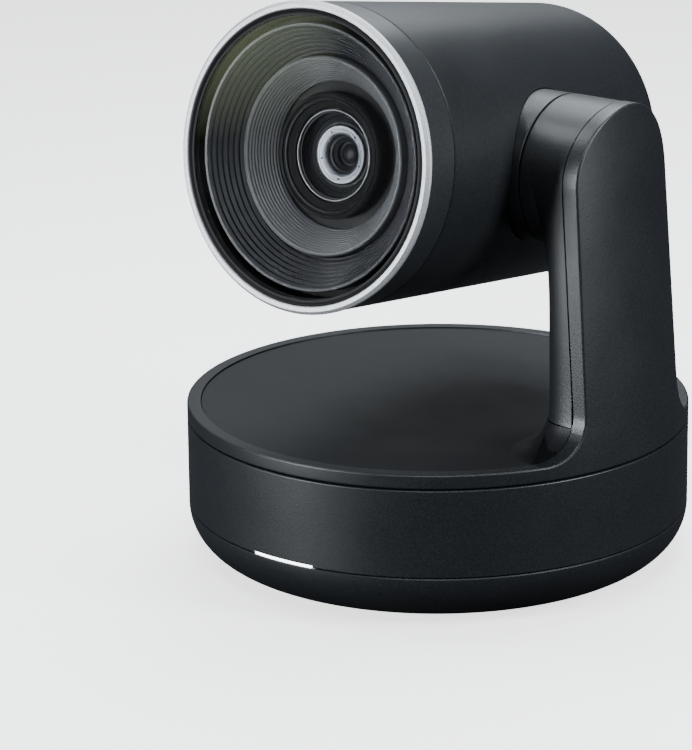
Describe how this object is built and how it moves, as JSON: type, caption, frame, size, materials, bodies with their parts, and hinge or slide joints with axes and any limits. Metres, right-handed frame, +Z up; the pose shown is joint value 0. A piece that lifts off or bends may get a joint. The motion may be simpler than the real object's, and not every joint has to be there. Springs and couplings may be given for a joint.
{
  "type": "ptz camera",
  "caption": "Pan, tilt and zoom camera: round weighted base, turntable with one leaning side arm, and a barrel head behind a silver ring and a ribbed lens hood.",
  "frame": {"origin": "centre of the base at the underside of its foot ring", "axes": "+Z up along the pan axis, the lens looks along -Y, the arm stands on the +X side"},
  "size_m": [0.152, 0.152, 0.1802],
  "materials": {
    "shell_plastic": "fine-grained charcoal plastic",
    "deck_plastic": "fine-grained charcoal plastic",
    "dark_plastic": "black moulded plastic",
    "baffle_plastic": "black plastic, satin",
    "silver_ring": "fine bead-blasted",
    "cover_glass": "coated clear glass",
    "lens_glass": "coated lens glass",
    "seal_rubber": "black rubber",
    "foot_rubber": "black rubber",
    "light_plastic": "frosted white light guide",
    "brass": "turned",
    "steel": "plated",
    "cast_plate": "painted ballast",
    "sheet_aluminium": "pressed sheet",
    "port_metal": "plated",
    "board": "green circuit board",
    "gear_nylon": "moulded nylon",
    "flex_film": "polyimide film",
    "sensor_black": "sensor package"
  },
  "bodies": {
    "base": {"base_band": "shell_plastic", "base_bowl": "shell_plastic", "foot_ring": "foot_rubber", "tripod_insert": "brass", "status_light": "light_plastic", "port_panel": "dark_plastic", "power_jack": "dark_plastic", "usb_port": "port_metal", "video_port": "port_metal", "lock_slot": "port_metal", "base_chassis": "sheet_aluminium", "main_board": "board", "ballast_plate": "cast_plate", "pan_post": "sheet_aluminium", "pan_motor": "steel", "base_screws": "steel"},
    "pairing_button": {"pair_button": "shell_plastic"},
    "pan_drive": {"pan_pinion": "brass"},
    "turntable": {"turret_shell": "shell_plastic", "turret_disc": "deck_plastic", "turret_frame": "sheet_aluminium", "pan_hub": "sheet_aluminium", "pan_bushes": "gear_nylon", "pan_gear": "gear_nylon", "pan_retainer": "steel", "arm_inner_cover": "shell_plastic", "arm_frame": "steel", "arm_cable": "flex_film", "tilt_motor": "steel", "tilt_bush": "gear_nylon", "arm_screws": "steel"},
    "tilt_drive": {"tilt_pinion": "brass"},
    "head": {"head_barrel": "shell_plastic", "head_collar": "shell_plastic", "front_ring": "silver_ring", "glass_gasket": "seal_rubber", "front_glass": "cover_glass", "coarse_baffle": "baffle_plastic", "fine_baffle": "baffle_plastic", "lens_nose": "baffle_plastic", "front_lens": "lens_glass", "aperture_ring": "silver_ring", "lens_barrel": "dark_plastic", "sensor_board": "board", "image_sensor": "sensor_black", "heat_sink": "sheet_aluminium", "head_chassis": "sheet_aluminium", "head_board": "board", "tilt_shaft": "steel", "tilt_gear": "gear_nylon", "head_screws": "steel"},
    "zoom_group": {"zoom_cell": "dark_plastic", "zoom_lens": "lens_glass"},
    "focus_group": {"focus_cell": "dark_plastic", "focus_lens": "lens_glass"}
  },
  "joints": [
    {"name": "pan", "type": "hinge", "parent": "base", "child": "turntable", "pos_m": [0, 0, 0.0441], "axis": [0, 0, 1], "range_deg": [-90, 90]},
    {"name": "tilt", "type": "hinge", "parent": "turntable", "child": "head", "pos_m": [0, 0, 0.1263], "axis": [-1, 0, 0], "range_deg": [-98.5, 41.5]},
    {"name": "pan_pinion_spin", "type": "hinge", "parent": "base", "child": "pan_drive", "pos_m": [-0.0375, 0, 0.026], "axis": [0, 0, 1], "range_deg": [-370, 370]},
    {"name": "tilt_pinion_spin", "type": "hinge", "parent": "turntable", "child": "tilt_drive", "pos_m": [0.0596, 0, 0.1043], "axis": [-1, 0, 0], "range_deg": [-115, 270]},
    {"name": "zoom_slide", "type": "slide", "parent": "head", "child": "zoom_group", "axis": [0, -0.989, 0.1478], "range_m": [0, 0.01]},
    {"name": "focus_slide", "type": "slide", "parent": "head", "child": "focus_group", "axis": [0, -0.989, 0.1478], "range_m": [-0.002, 0.002]},
    {"name": "pair_press", "type": "slide", "parent": "base", "child": "pairing_button", "axis": [0, -1, 0], "range_m": [0, 0.001], "stiffness_N_per_m": 600}
  ],
  "couplings": [
    {"joint": "pan_pinion_spin", "follows": "pan", "ratio": -4},
    {"joint": "tilt_pinion_spin", "follows": "tilt", "ratio": -2.6667}
  ]
}
